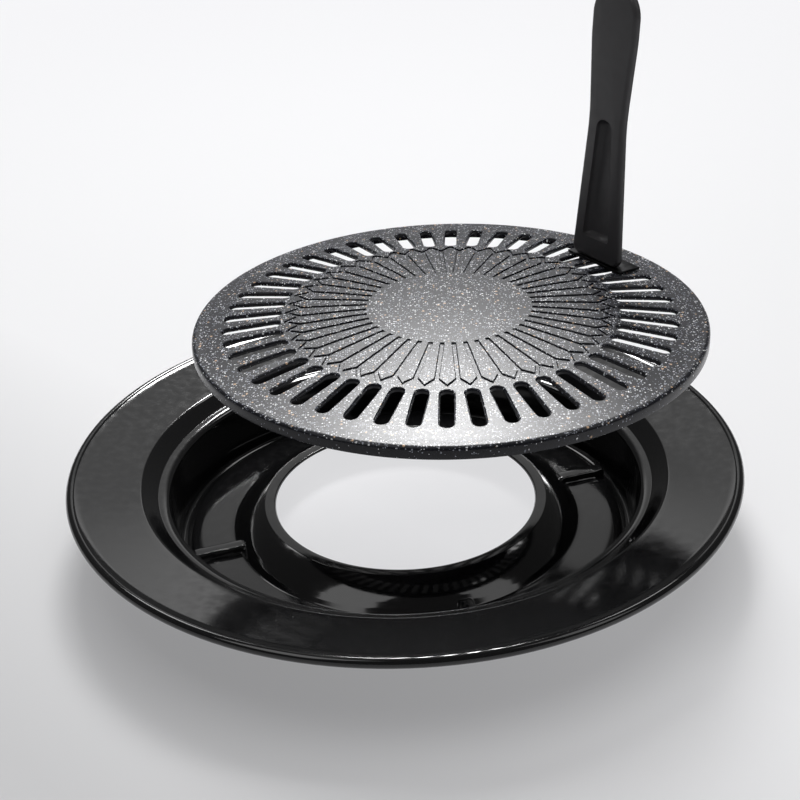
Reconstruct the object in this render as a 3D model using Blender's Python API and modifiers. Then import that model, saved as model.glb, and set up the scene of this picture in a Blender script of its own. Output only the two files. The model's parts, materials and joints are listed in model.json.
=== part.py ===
# Yakiniku grill plate: an enamelled drip tray with a burner hole, a slotted
# and grooved grill plate that seats in it, and a handle that hooks into the
# slots. Metres, +Z up. The origin is on the tray's axis, on the surface that
# the tray stands on. The plate is lifted off the tray, level, by its handle.

import math

import bmesh
import bpy
from mathutils import Matrix, Vector

# Drip tray, pressed from steel sheet
TRAY_RADIUS = 0.2000
TRAY_HEIGHT = 0.0500
TRAY_SHEET = 0.0010
BRIM_FALL = 0.0061
BRIM_CORNER = 0.0025
LIP_RADIUS = 0.0030
LIP_RETURN = 0.0015
UPPER_WALL_RUN = 0.0091
SEAT_CLEARANCE = 0.0013
SEAT_DEPTH = 0.0135
SEAT_WIDTH = 0.0055
SEAT_CORNER = 0.0020
SEAT_CREASE = 0.0010
LOWER_WALL_RUN = 0.0048
WELL_WIDTH = 0.0040
WELL_CORNER = 0.0015
STEP_RUN = 0.0038
PLATEAU_WIDTH = 0.0248
PLATEAU_HEIGHT = 0.0062
PLATEAU_CORNER = 0.0020
CONE_RUN = 0.0191
CONE_BULGE = 0.0016
RIM_WIDTH = 0.0068
RIM_HEIGHT = 0.0200
RIM_CORNER = 0.0015
HOLE_EDGE_DROP = 0.0010
HOLE_EDGE_RUN = 0.0015

# Four pressed ribs that bridge the plateau
RIB_COUNT = 4
RIB_FIRST_AZIMUTH = math.radians(17.5)
RIB_WIDTH = 0.0098
RIB_RISE = 0.0042
RIB_INNER_REACH = 0.0036
RIB_OUTER_REACH = 0.0031
RIB_ROUNDING = 0.0016
RIB_LEAST_ROUNDING = 0.0004

# Grill plate, cast aluminium
PLATE_RADIUS = 0.1462
PLATE_EDGE = 0.0070
PLATE_ROUNDING = 0.0025
PLATE_FOOT_ROUNDING = 0.0005
PLATE_WALL = 0.0025
PLATE_DOME_RISE = 0.0090
PLATE_FOOT_WIDTH = 0.0082
PLATE_FOOT_STEP = 0.0020
SLOT_COUNT = 48
SLOT_FIRST_AZIMUTH = math.radians(4.2)
SLOT_WIDTH = 0.0072
SLOT_LENGTH = 0.0334
SLOT_BORDER = 0.0171
GROOVE_START_RADIUS = 0.0470
GROOVE_FORK_LENGTH = 0.0080
GROOVE_END_SETBACK = 0.0027
GROOVE_RADIUS = 0.0013
GROOVE_LIFT = 0.0004

# Place of the plate while it is held up off the tray
LIFT_X = 0.0291
LIFT_Y = -0.0033
LIFT_Z = 0.0951

# Handle: moulded grip and the steel hook plate under it
HANDLE_SLOT = 4
HANDLE_SETBACK = 0.0131
HANDLE_LEAN = math.radians(4.0)
GRIP_LENGTH = 0.1650
GRIP_FOOT_WIDTH = 0.0410
GRIP_WAIST_WIDTH = 0.0288
GRIP_WAIST_SHARE = 0.533
GRIP_HEAD_WIDTH = 0.0360
GRIP_HEAD_SHARE = 0.818
GRIP_FOOT_CHAMFER = 0.0050
GRIP_EDGE = 0.0040
GRIP_CROWN = 0.0050
GRIP_CROWN_SLOPE = 0.0070
GRIP_CROWN_SHARES = (0.6, 0.4)
GRIP_ROUNDING = 0.0010
RECESS_BOTTOM = 0.0150
RECESS_TOP_SHARE = 0.533
RECESS_MARGIN = 0.0085
RECESS_DEPTH = 0.0042
RECESS_SLOPE = 0.0028
HOOK_SHEET = 0.0015
HOOK_BASE_WIDTH = 0.0460
HOOK_BASE_DEPTH = 0.0165
HOOK_LEAF_WIDTH = 0.0200
HOOK_LEAF_HEIGHT = 0.0300
PRONG_CLEARANCE = 0.00135
PRONG_SETBACK = 0.0040
PRONG_HOLD = 0.0040
SCREW_HEAD_RADIUS = 0.0035
SCREW_HEAD_HEIGHT = 0.0020
SCREW_CROWN = 0.0008
SCREW_FLAT_RADIUS = 0.00245
SCREW_SHANK_RADIUS = 0.0017
SCREW_GRIP_DEPTH = 0.0030
SCREW_LOWER_HEIGHT = 0.0080
SCREW_UPPER_HEIGHT = 0.0230
SCREW_RECESS_RADIUS = 0.0014
SCREW_RECESS_DEPTH = 0.0010

# Clearances, and how far cutting tools run past what they cut
GAP = 0.0003
OVERRUN = 0.0020
MERGE = 0.00001

# What follows from the sizes above
SEAT_OUTER_RADIUS = PLATE_RADIUS + SEAT_CLEARANCE
SEAT_INNER_RADIUS = SEAT_OUTER_RADIUS - SEAT_WIDTH
SEAT_HEIGHT = TRAY_HEIGHT - SEAT_DEPTH
BRIM_INNER_RADIUS = SEAT_OUTER_RADIUS + UPPER_WALL_RUN
WELL_OUTER_RADIUS = SEAT_INNER_RADIUS - LOWER_WALL_RUN
WELL_INNER_RADIUS = WELL_OUTER_RADIUS - WELL_WIDTH
PLATEAU_OUTER_RADIUS = WELL_INNER_RADIUS - STEP_RUN
PLATEAU_INNER_RADIUS = PLATEAU_OUTER_RADIUS - PLATEAU_WIDTH
RIM_OUTER_RADIUS = PLATEAU_INNER_RADIUS - CONE_RUN
HOLE_RADIUS = RIM_OUTER_RADIUS - RIM_WIDTH
RIB_INNER_RADIUS = PLATEAU_INNER_RADIUS - RIB_INNER_REACH
RIB_OUTER_RADIUS = PLATEAU_OUTER_RADIUS + RIB_OUTER_REACH
PLATE_FOOT_INNER_RADIUS = PLATE_RADIUS - PLATE_FOOT_WIDTH
SLOT_OUTER_RADIUS = PLATE_RADIUS - SLOT_BORDER
SLOT_INNER_RADIUS = SLOT_OUTER_RADIUS - SLOT_LENGTH
GROOVE_TIP_RADIUS = SLOT_INNER_RADIUS - GROOVE_END_SETBACK
GROOVE_FORK_RADIUS = GROOVE_TIP_RADIUS - GROOVE_FORK_LENGTH
HANDLE_RADIUS = SLOT_INNER_RADIUS + HANDLE_SETBACK
PRONG_WIDTH = SLOT_WIDTH - PRONG_CLEARANCE * 2.0
PRONG_REACH = HANDLE_SETBACK + PRONG_HOLD
GRIP_BACK = GRIP_EDGE + GRIP_CROWN
GRIP_WAIST_HEIGHT = GRIP_LENGTH * GRIP_WAIST_SHARE
GRIP_HEAD_HEIGHT = GRIP_LENGTH * GRIP_HEAD_SHARE
RECESS_TOP = GRIP_LENGTH * RECESS_TOP_SHARE
SCREW_HEIGHTS = {"lower": SCREW_LOWER_HEIGHT, "upper": SCREW_UPPER_HEIGHT}

TRAY_STEPS = 48
PLATE_STEPS = 96
SLOT_STEPS = 3
GRIP_STEPS = 6
RECESS_STEPS = 4
SCREW_STEPS = 16
CORNER_STEPS = 2
SHARP_ANGLE = math.radians(35.0)
BEVEL_ANGLE = math.radians(50.0)
LIP_ANGLES = [math.radians(angle) for angle in (50.0, 0.0, -45.0, -90.0)]


def clear_scene():
    for old in list(bpy.data.objects):
        bpy.data.objects.remove(old, do_unlink=True)


def new_collection(name):
    collection = bpy.data.collections.new(name)
    bpy.context.scene.collection.children.link(collection)
    return collection


def finish(name, colour, roughness, metallic):
    material = bpy.data.materials.new(name)
    material.use_nodes = True
    shader = material.node_tree.nodes["Principled BSDF"]
    shader.inputs["Base Color"].default_value = (*colour, 1.0)
    shader.inputs["Roughness"].default_value = roughness
    shader.inputs["Metallic"].default_value = metallic
    return material


def place(name, mesh, collection, material=None):
    piece = bpy.data.objects.new(name, mesh)
    collection.objects.link(piece)
    if material:
        mesh.materials.append(material)
    return piece


def as_cutter(piece):
    piece.hide_render = True
    piece.display_type = "WIRE"
    return piece


def boolean(piece, tool, operation):
    cut = piece.modifiers.new(tool.name, "BOOLEAN")
    cut.object = tool
    cut.operation = operation
    cut.solver = "EXACT"


def turn(piece, steps):
    screw = piece.modifiers.new("turned", "SCREW")
    screw.steps = steps
    screw.render_steps = steps
    screw.use_merge_vertices = True
    screw.merge_threshold = MERGE
    screw.use_smooth_shade = True


def smooth(mesh):
    mesh.shade_smooth()
    mesh.set_sharp_from_angle(angle=SHARP_ANGLE)


def wire_mesh(name, path, closed=False):
    """A profile in the XZ plane, as a mesh of edges."""
    mesh = bpy.data.meshes.new(name)
    shape = bmesh.new()
    verts = [shape.verts.new((radius, 0.0, height)) for radius, height in path]
    for first, second in zip(verts, verts[1:]):
        shape.edges.new((first, second))
    if closed:
        shape.edges.new((verts[-1], verts[0]))
    shape.to_mesh(mesh)
    shape.free()
    return mesh


def rounded(corners):
    """A path whose corners (x, y, radius, steps) are replaced by short arcs."""
    path = [Vector(corners[0][:2])]
    for before, corner, after in zip(corners, corners[1:], corners[2:]):
        here = Vector(corner[:2])
        radius = corner[2]
        steps = corner[3] if len(corner) > 3 else CORNER_STEPS
        back = (Vector(before[:2]) - here).normalized()
        ahead = (Vector(after[:2]) - here).normalized()
        half = back.angle(ahead) / 2.0
        if radius == 0.0:
            path.append(here)
            continue
        centre = here + (back + ahead).normalized() * radius / math.sin(half)
        start = here + back * radius / math.tan(half) - centre
        end = here + ahead * radius / math.tan(half) - centre
        sweep = start.angle_signed(end)
        for step in range(steps + 1):
            spin = Matrix.Rotation(-sweep * step / steps, 2)
            path.append(centre + spin @ start)
    path.append(Vector(corners[-1][:2]))
    return path


def bulged(start, end, bulge, steps):
    """Points between two ends of a line, bowed to its left by the bulge."""
    line = Vector(end) - Vector(start)
    left = Vector((-line.y, line.x)).normalized()
    points = []
    for step in range(1, steps):
        share = step / steps
        points.append(Vector(start) + line * share + left * bulge * 4.0 * share * (1.0 - share))
    return points


def tray_path():
    """The tray's upper surface, from the burner hole out to the lip."""
    brim_outer = TRAY_RADIUS - LIP_RADIUS
    cone_top = (RIM_OUTER_RADIUS, RIM_HEIGHT)
    cone_foot = (PLATEAU_INNER_RADIUS, PLATEAU_HEIGHT)
    corners = [(HOLE_RADIUS, RIM_HEIGHT - HOLE_EDGE_DROP, 0.0)]
    corners.append((HOLE_RADIUS + HOLE_EDGE_RUN, RIM_HEIGHT, 0.0))
    corners.append((*cone_top, RIM_CORNER))
    corners += [(*point, 0.0) for point in bulged(cone_top, cone_foot, CONE_BULGE, 3)]
    corners.append((*cone_foot, PLATEAU_CORNER, 1))
    corners.append((PLATEAU_OUTER_RADIUS, PLATEAU_HEIGHT, PLATEAU_CORNER))
    corners.append((WELL_INNER_RADIUS, TRAY_SHEET, WELL_CORNER, 1))
    corners.append((WELL_OUTER_RADIUS, TRAY_SHEET, WELL_CORNER, 1))
    corners.append((SEAT_INNER_RADIUS, SEAT_HEIGHT, SEAT_CORNER))
    corners.append((SEAT_OUTER_RADIUS, SEAT_HEIGHT, SEAT_CREASE, 1))
    corners.append((BRIM_INNER_RADIUS, TRAY_HEIGHT - BRIM_FALL, BRIM_CORNER))
    corners.append((brim_outer, TRAY_HEIGHT, 0.0))
    path = rounded(corners)
    for angle in LIP_ANGLES:
        radius = brim_outer + LIP_RADIUS * math.cos(angle)
        path.append(Vector((radius, TRAY_HEIGHT - LIP_RADIUS + LIP_RADIUS * math.sin(angle))))
    path.append(Vector((brim_outer - LIP_RETURN, TRAY_HEIGHT - LIP_RADIUS * 2.0)))
    return path


def rib_blocks(name, shrink, bottom, collection):
    """Four radial bars with rounded upright edges, smaller all round by the shrink."""
    shape = bmesh.new()
    length = RIB_OUTER_RADIUS - RIB_INNER_RADIUS - shrink * 2.0
    width = RIB_WIDTH - shrink * 2.0
    top = PLATEAU_HEIGHT + RIB_RISE - shrink
    middle = (RIB_OUTER_RADIUS + RIB_INNER_RADIUS) / 2.0
    for index in range(RIB_COUNT):
        azimuth = RIB_FIRST_AZIMUTH + math.tau * index / RIB_COUNT
        spin = Matrix.Rotation(azimuth, 4, "Z")
        shift = Matrix.Translation((middle, 0.0, (top + bottom) / 2.0))
        size = Matrix.Diagonal((length, width, top - bottom, 1.0))
        bmesh.ops.create_cube(shape, size=1.0, matrix=spin @ shift @ size)
    rounding = max(RIB_ROUNDING - shrink, RIB_LEAST_ROUNDING)
    edges = [edge for edge in shape.edges if max(vert.co.z for vert in edge.verts) > top - MERGE]
    bmesh.ops.bevel(shape, geom=edges, offset=rounding, offset_type="OFFSET", segments=2,
                    profile=0.5, affect="EDGES", clamp_overlap=True)
    mesh = bpy.data.meshes.new(name)
    shape.to_mesh(mesh)
    shape.free()
    return as_cutter(place(name, mesh, collection))


def rib_trim(collection):
    """The hollow under the plateau, which a pressed rib leaves open."""
    top = PLATEAU_HEIGHT - TRAY_SHEET - MERGE
    inner = PLATEAU_INNER_RADIUS - OVERRUN
    outer = PLATEAU_OUTER_RADIUS - TRAY_SHEET - MERGE
    path = [(inner, top), (outer, top), (outer, -OVERRUN), (inner, -OVERRUN)]
    trim = place("rib_trim", wire_mesh("rib_trim", path, closed=True), collection)
    turn(trim, TRAY_STEPS)
    return as_cutter(trim)


def build_tray(parts, tools):
    enamel = finish("black_enamel", (0.010, 0.010, 0.011), 0.12, 0.0)
    tray = place("drip_tray", wire_mesh("drip_tray", tray_path()), parts, enamel)
    turn(tray, TRAY_STEPS)
    sheet = tray.modifiers.new("sheet", "SOLIDIFY")
    sheet.thickness = TRAY_SHEET
    sheet.offset = -1.0
    sheet.use_even_offset = True
    boolean(tray, rib_blocks("rib_bars", 0.0, TRAY_SHEET / 2.0, tools), "UNION")
    boolean(tray, rib_trim(tools), "DIFFERENCE")
    boolean(tray, rib_blocks("rib_channels", TRAY_SHEET, -OVERRUN, tools), "DIFFERENCE")
    return tray


def plate_top(radius):
    """Height of the plate's upper face above its seat."""
    crown = PLATE_RADIUS - PLATE_ROUNDING
    return PLATE_EDGE + PLATE_DOME_RISE * (1.0 - (radius / crown) ** 2)


def plate_path():
    """The plate's outline from the centre of its top round to the centre below."""
    crown = PLATE_RADIUS - PLATE_ROUNDING
    slot_middle = (SLOT_INNER_RADIUS + SLOT_OUTER_RADIUS) / 2.0
    radii = [0.0, GROOVE_START_RADIUS, GROOVE_FORK_RADIUS, slot_middle]
    path = [(radius, plate_top(radius)) for radius in radii]
    edge = PLATE_EDGE - PLATE_ROUNDING
    for step in range(CORNER_STEPS + 1):
        angle = math.pi / 2.0 * (1.0 - step / CORNER_STEPS)
        path.append((crown + PLATE_ROUNDING * math.cos(angle), edge + PLATE_ROUNDING * math.sin(angle)))
    path.append((PLATE_RADIUS, PLATE_FOOT_ROUNDING))
    path.append((PLATE_RADIUS - PLATE_FOOT_ROUNDING, 0.0))
    path.append((PLATE_FOOT_INNER_RADIUS, 0.0))
    step_radius = PLATE_FOOT_INNER_RADIUS - PLATE_FOOT_STEP
    path.append((step_radius, plate_top(step_radius) - PLATE_WALL))
    path += [(radius, plate_top(radius) - PLATE_WALL) for radius in reversed(radii)]
    return path


def slot_cutter(collection):
    """Upright stadium-shaped tools, one for each slot."""
    shape = bmesh.new()
    half = SLOT_WIDTH / 2.0
    near = SLOT_INNER_RADIUS + half
    far = SLOT_OUTER_RADIUS - half
    outline = []
    for centre, turned in ((far, -math.pi / 2.0), (near, math.pi / 2.0)):
        for step in range(SLOT_STEPS + 1):
            angle = turned + math.pi * step / SLOT_STEPS
            outline.append((centre + half * math.cos(angle), half * math.sin(angle)))
    top = PLATE_EDGE + PLATE_DOME_RISE + OVERRUN
    for index in range(SLOT_COUNT):
        azimuth = SLOT_FIRST_AZIMUTH + math.tau * index / SLOT_COUNT
        spin = Matrix.Rotation(azimuth, 4, "Z")
        face = shape.faces.new([shape.verts.new(spin @ Vector((x, y, -OVERRUN))) for x, y in outline])
        raised = bmesh.ops.extrude_face_region(shape, geom=[face])["geom"]
        tops = [item for item in raised if isinstance(item, bmesh.types.BMVert)]
        bmesh.ops.translate(shape, verts=tops, vec=(0.0, 0.0, top + OVERRUN))
    bmesh.ops.recalc_face_normals(shape, faces=shape.faces)
    mesh = bpy.data.meshes.new("slot_tools")
    shape.to_mesh(mesh)
    shape.free()
    return as_cutter(place("slot_tools", mesh, collection))


def tube_mesh(name, runs, closed):
    """Round tubes along runs of points, as one mesh."""
    curve = bpy.data.curves.new(name, "CURVE")
    curve.dimensions = "3D"
    curve.bevel_depth = GROOVE_RADIUS
    curve.bevel_resolution = 1
    curve.use_fill_caps = True
    for run in runs:
        spline = curve.splines.new("POLY")
        spline.points.add(len(run) - 1)
        for point, place_at in zip(spline.points, run):
            point.co = (*place_at, 1.0)
        spline.use_cyclic_u = closed
    guide = bpy.data.objects.new(name, curve)
    bpy.context.scene.collection.objects.link(guide)
    depsgraph = bpy.context.evaluated_depsgraph_get()
    mesh = bpy.data.meshes.new_from_object(guide.evaluated_get(depsgraph))
    bpy.data.objects.remove(guide, do_unlink=True)
    shape = bmesh.new()
    shape.from_mesh(mesh)
    bmesh.ops.remove_doubles(shape, verts=shape.verts, dist=MERGE)
    shape.to_mesh(mesh)
    shape.free()
    return mesh


def on_dome(radius, azimuth):
    height = plate_top(radius) + GROOVE_LIFT
    return (radius * math.cos(azimuth), radius * math.sin(azimuth), height)


def groove_cutters(collection):
    """Radial grooves between the slots, and the zigzag that links them."""
    spokes = []
    zigzag = []
    pitch = math.tau / SLOT_COUNT
    for index in range(SLOT_COUNT):
        azimuth = SLOT_FIRST_AZIMUTH + pitch * (index + 0.5)
        spokes.append([on_dome(radius, azimuth) for radius in (GROOVE_START_RADIUS, GROOVE_FORK_RADIUS)])
        zigzag.append(on_dome(GROOVE_FORK_RADIUS, azimuth))
        zigzag.append(on_dome(GROOVE_TIP_RADIUS, azimuth + pitch / 2.0))
    radial = as_cutter(place("spoke_tools", tube_mesh("spoke_tools", spokes, False), collection))
    ring = as_cutter(place("zigzag_tool", tube_mesh("zigzag_tool", [zigzag], True), collection))
    return radial, ring


def build_plate(parts, tools):
    coating = finish("speckled_coating", (0.055, 0.057, 0.063), 0.35, 0.1)
    plate = place("grill_plate", wire_mesh("grill_plate", plate_path()), parts, coating)
    turn(plate, PLATE_STEPS)
    radial, ring = groove_cutters(tools)
    boolean(plate, slot_cutter(tools), "DIFFERENCE")
    boolean(plate, radial, "DIFFERENCE")
    boolean(plate, ring, "DIFFERENCE")
    return plate


def grip_outline():
    """The grip's front outline in width and height, once round."""
    base = HOOK_SHEET + GAP
    foot = GRIP_FOOT_WIDTH / 2.0
    waist = GRIP_WAIST_WIDTH / 2.0
    head = GRIP_HEAD_WIDTH / 2.0
    right = [(foot - GRIP_FOOT_CHAMFER, base), (foot, base + GRIP_FOOT_CHAMFER)]
    right.append((waist, GRIP_WAIST_HEIGHT))
    right.append((head, GRIP_HEAD_HEIGHT))
    for step in range(GRIP_STEPS + 1):
        angle = math.pi / 2.0 * step / GRIP_STEPS
        top = GRIP_LENGTH - head + head * math.sin(angle)
        right.append((head * math.cos(angle), top))
    left = [(-width, height) for width, height in reversed(right[:-1])]
    return right + left


def grip_mesh():
    shape = bmesh.new()
    front = [shape.verts.new((width, 0.0, height)) for width, height in grip_outline()]
    face = shape.faces.new(front)
    raised = bmesh.ops.extrude_face_region(shape, geom=[face])["geom"]
    backs = [item for item in raised if isinstance(item, bmesh.types.BMVert)]
    bmesh.ops.translate(shape, verts=backs, vec=(0.0, GRIP_EDGE, 0.0))
    back = [item for item in raised if isinstance(item, bmesh.types.BMFace)]
    bmesh.ops.recalc_face_normals(shape, faces=shape.faces)
    for share in GRIP_CROWN_SHARES:
        bmesh.ops.inset_region(shape, faces=back, thickness=GRIP_CROWN_SLOPE / len(GRIP_CROWN_SHARES),
                               depth=GRIP_CROWN * share, use_even_offset=True)
    mesh = bpy.data.meshes.new("handle_grip")
    shape.to_mesh(mesh)
    shape.free()
    smooth(mesh)
    return mesh


def recess_cutter(collection):
    """A long tapered dish sunk in the grip's face, round at the top."""
    shape = bmesh.new()

    def half_width(height):
        share = (height - GRIP_FOOT_CHAMFER) / (GRIP_WAIST_HEIGHT - GRIP_FOOT_CHAMFER)
        width = GRIP_FOOT_WIDTH + (GRIP_WAIST_WIDTH - GRIP_FOOT_WIDTH) * share
        return width / 2.0 - RECESS_MARGIN

    low = half_width(RECESS_BOTTOM)
    high = half_width(RECESS_TOP)
    right = [(low, RECESS_BOTTOM)]
    for step in range(RECESS_STEPS + 1):
        angle = math.pi / 2.0 * step / RECESS_STEPS
        right.append((high * math.cos(angle), RECESS_TOP - high + high * math.sin(angle)))
    outline = right + [(-width, height) for width, height in reversed(right[:-1])]
    face = shape.faces.new([shape.verts.new((width, 0.0, height)) for width, height in outline])
    lower = [vert for vert in face.verts if vert.co.z < RECESS_BOTTOM + MERGE]
    bmesh.ops.bevel(shape, geom=lower, offset=RECESS_SLOPE, offset_type="OFFSET", segments=2,
                    profile=0.5, affect="VERTICES")
    raised = bmesh.ops.extrude_face_region(shape, geom=list(shape.faces))["geom"]
    fronts = [item for item in raised if isinstance(item, bmesh.types.BMVert)]
    bmesh.ops.translate(shape, verts=fronts, vec=(0.0, -OVERRUN, 0.0))
    bmesh.ops.recalc_face_normals(shape, faces=shape.faces)
    deep = [item for item in shape.faces if item.calc_center_median().y > -MERGE]
    bmesh.ops.inset_region(shape, faces=deep, thickness=RECESS_SLOPE, depth=RECESS_DEPTH,
                           use_even_offset=True)
    mesh = bpy.data.meshes.new("recess_tool")
    shape.to_mesh(mesh)
    shape.free()
    return as_cutter(place("recess_tool", mesh, collection))


def rod(name, radius, start, end, height, collection, sides=SCREW_STEPS):
    """A round tool along Y between two depths, at a height up the grip."""
    shape = bmesh.new()
    aim = Matrix.Translation((0.0, (start + end) / 2.0, height)) @ Matrix.Rotation(math.pi / 2.0, 4, "X")
    bmesh.ops.create_cone(shape, cap_ends=True, segments=sides, radius1=radius, radius2=radius,
                          depth=end - start, matrix=aim)
    mesh = bpy.data.meshes.new(name)
    shape.to_mesh(mesh)
    shape.free()
    return as_cutter(place(name, mesh, collection))


def build_grip(parts, tools, frame):
    resin = finish("black_resin", (0.018, 0.018, 0.019), 0.45, 0.0)
    grip = place("handle_grip", grip_mesh(), parts, resin)
    grip.parent = frame
    cutters = [recess_cutter(tools)]
    for where, height in SCREW_HEIGHTS.items():
        start = GRIP_BACK - SCREW_GRIP_DEPTH - GAP
        cutters.append(rod("pilot_" + where, SCREW_SHANK_RADIUS + GAP, start,
                           GRIP_BACK + OVERRUN, height, tools))
    for cutter in cutters:
        cutter.parent = frame
        boolean(grip, cutter, "DIFFERENCE")
    edges = grip.modifiers.new("rounded", "BEVEL")
    edges.width = GRIP_ROUNDING
    edges.segments = 2
    edges.limit_method = "ANGLE"
    edges.angle_limit = BEVEL_ANGLE
    return grip


def sheet_box(shape, low, high):
    size = [top - bottom for bottom, top in zip(low, high)]
    centre = [(top + bottom) / 2.0 for bottom, top in zip(low, high)]
    aim = Matrix.Translation(centre) @ Matrix.Diagonal((*size, 1.0))
    bmesh.ops.create_cube(shape, size=1.0, matrix=aim)


def box_piece(name, low, high, collection):
    shape = bmesh.new()
    sheet_box(shape, low, high)
    mesh = bpy.data.meshes.new(name)
    shape.to_mesh(mesh)
    shape.free()
    return place(name, mesh, collection)


def prong_drop():
    """How far the hooks' upper faces lie below the axis."""
    return GAP + PLATE_WALL + GAP


def build_hook_plate(parts, tools, frame):
    steel = finish("blackened_steel", (0.030, 0.030, 0.032), 0.40, 0.6)
    half = HOOK_BASE_WIDTH / 2.0
    hook = box_piece("hook_plate", (-half, 0.0, 0.0), (half, HOOK_BASE_DEPTH, HOOK_SHEET), parts)
    hook.data.materials.append(steel)
    hook.parent = frame
    leaf_front = GRIP_BACK + GAP
    leaf_half = HOOK_LEAF_WIDTH / 2.0
    added = [box_piece("leaf_block", (-leaf_half, leaf_front, HOOK_SHEET / 2.0),
                       (leaf_half, leaf_front + HOOK_SHEET, HOOK_LEAF_HEIGHT), tools)]
    reach = (HANDLE_RADIUS + PRONG_SETBACK) * math.sin(math.tau / SLOT_COUNT)
    drop = -prong_drop() - HOOK_SHEET
    for side, name in ((-1.0, "left"), (1.0, "right")):
        low = side * reach - PRONG_WIDTH / 2.0
        high = side * reach + PRONG_WIDTH / 2.0
        back = PRONG_SETBACK + HOOK_SHEET
        added.append(box_piece("stem_" + name, (low, PRONG_SETBACK, drop), (high, back, HOOK_SHEET / 2.0), tools))
        added.append(box_piece("claw_" + name, (low, -PRONG_REACH, drop),
                               (high, back - HOOK_SHEET / 2.0, drop + HOOK_SHEET), tools))
    for block in added:
        as_cutter(block).parent = frame
        boolean(hook, block, "UNION")
    for where, height in SCREW_HEIGHTS.items():
        hole = rod("leaf_hole_" + where, SCREW_SHANK_RADIUS + GAP, leaf_front - OVERRUN / 2.0,
                   leaf_front + HOOK_SHEET + OVERRUN, height, tools)
        hole.parent = frame
        boolean(hook, hole, "DIFFERENCE")
    return hook


def screw_mesh():
    """A pan-head screw along -Y, its head's seat at the origin."""
    tip = SCREW_GRIP_DEPTH + HOOK_SHEET + GAP
    corners = [(0.0, SCREW_HEAD_HEIGHT), (SCREW_FLAT_RADIUS, SCREW_HEAD_HEIGHT)]
    corners.append((SCREW_HEAD_RADIUS, SCREW_HEAD_HEIGHT - SCREW_CROWN))
    corners.append((SCREW_HEAD_RADIUS, 0.0))
    corners.append((SCREW_SHANK_RADIUS, 0.0))
    corners.append((SCREW_SHANK_RADIUS, -tip))
    corners.append((0.0, -tip))
    return wire_mesh("handle_screw", corners)


def build_screws(parts, tools, frame):
    steel = finish("screw_steel", (0.45, 0.45, 0.46), 0.30, 1.0)
    mesh = screw_mesh()
    mesh.materials.append(steel)
    seat = GRIP_BACK + HOOK_SHEET + GAP * 2.0
    for where, height in SCREW_HEIGHTS.items():
        screw = place("handle_screw_" + where, mesh, parts)
        screw.parent = frame
        screw.location = (0.0, seat, height)
        screw.rotation_euler = (-math.pi / 2.0, 0.0, 0.0)
        turn(screw, SCREW_STEPS)
        socket = rod("socket_" + where, SCREW_RECESS_RADIUS, seat + SCREW_HEAD_HEIGHT - SCREW_RECESS_DEPTH,
                     seat + SCREW_HEAD_HEIGHT + OVERRUN, height, tools, sides=6)
        socket.parent = frame
        boolean(screw, socket, "DIFFERENCE")


def plate_frame(parts):
    """Carries what lies in the plate's own place, on its seat line."""
    frame = bpy.data.objects.new("plate_place", None)
    frame.location = (LIFT_X, LIFT_Y, SEAT_HEIGHT + LIFT_Z)
    parts.objects.link(frame)
    return frame


def handle_frame(parts, carrier):
    """Lies on the line that the handle rocks about: its front lower edge."""
    azimuth = SLOT_FIRST_AZIMUTH + math.tau * HANDLE_SLOT / SLOT_COUNT
    frame = bpy.data.objects.new("handle_place", None)
    height = plate_top(HANDLE_RADIUS) + GAP
    spin = Matrix.Rotation(azimuth - math.pi / 2.0, 4, "Z")
    lean = Matrix.Rotation(-HANDLE_LEAN, 4, "X")
    step = Matrix.Translation((0.0, HANDLE_RADIUS, height))
    frame.parent = carrier
    frame.matrix_local = spin @ step @ lean
    parts.objects.link(frame)
    return frame


def main():
    clear_scene()
    parts = new_collection("yakiniku_grill_plate")
    tools = new_collection("cutting_tools")
    build_tray(parts, tools)
    plate_place = plate_frame(parts)
    plate = build_plate(parts, tools)
    plate.parent = plate_place
    for name in ("slot_tools", "spoke_tools", "zigzag_tool"):
        bpy.data.objects[name].parent = plate_place
    handle_place = handle_frame(parts, plate_place)
    build_grip(parts, tools, handle_place)
    build_hook_plate(parts, tools, handle_place)
    build_screws(parts, tools, handle_place)


main()
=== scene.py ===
import bmesh
import bpy
import json
import math
from mathutils import Matrix, Vector


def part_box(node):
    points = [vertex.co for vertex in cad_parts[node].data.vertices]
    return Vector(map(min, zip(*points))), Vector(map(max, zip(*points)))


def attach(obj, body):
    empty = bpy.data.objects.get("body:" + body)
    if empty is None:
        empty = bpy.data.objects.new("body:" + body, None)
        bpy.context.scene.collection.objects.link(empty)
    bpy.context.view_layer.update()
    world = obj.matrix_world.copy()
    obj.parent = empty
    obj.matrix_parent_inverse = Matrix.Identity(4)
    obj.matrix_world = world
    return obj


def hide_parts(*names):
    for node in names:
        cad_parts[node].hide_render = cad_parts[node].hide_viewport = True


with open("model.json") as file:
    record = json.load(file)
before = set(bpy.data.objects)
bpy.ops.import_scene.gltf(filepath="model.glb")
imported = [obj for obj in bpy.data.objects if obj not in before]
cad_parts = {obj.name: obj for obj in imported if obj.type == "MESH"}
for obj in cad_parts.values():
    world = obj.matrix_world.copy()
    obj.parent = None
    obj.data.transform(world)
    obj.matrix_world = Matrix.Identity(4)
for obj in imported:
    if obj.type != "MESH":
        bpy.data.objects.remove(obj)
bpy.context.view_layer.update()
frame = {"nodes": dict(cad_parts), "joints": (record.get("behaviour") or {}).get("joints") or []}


# the plate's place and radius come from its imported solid
plateLow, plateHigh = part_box("grill_plate")
plateCentre = Vector(((plateLow.x + plateHigh.x) / 2, (plateLow.y + plateHigh.y) / 2, plateLow.z))
plateRadius = (plateHigh.x - plateLow.x) / 2

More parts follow.
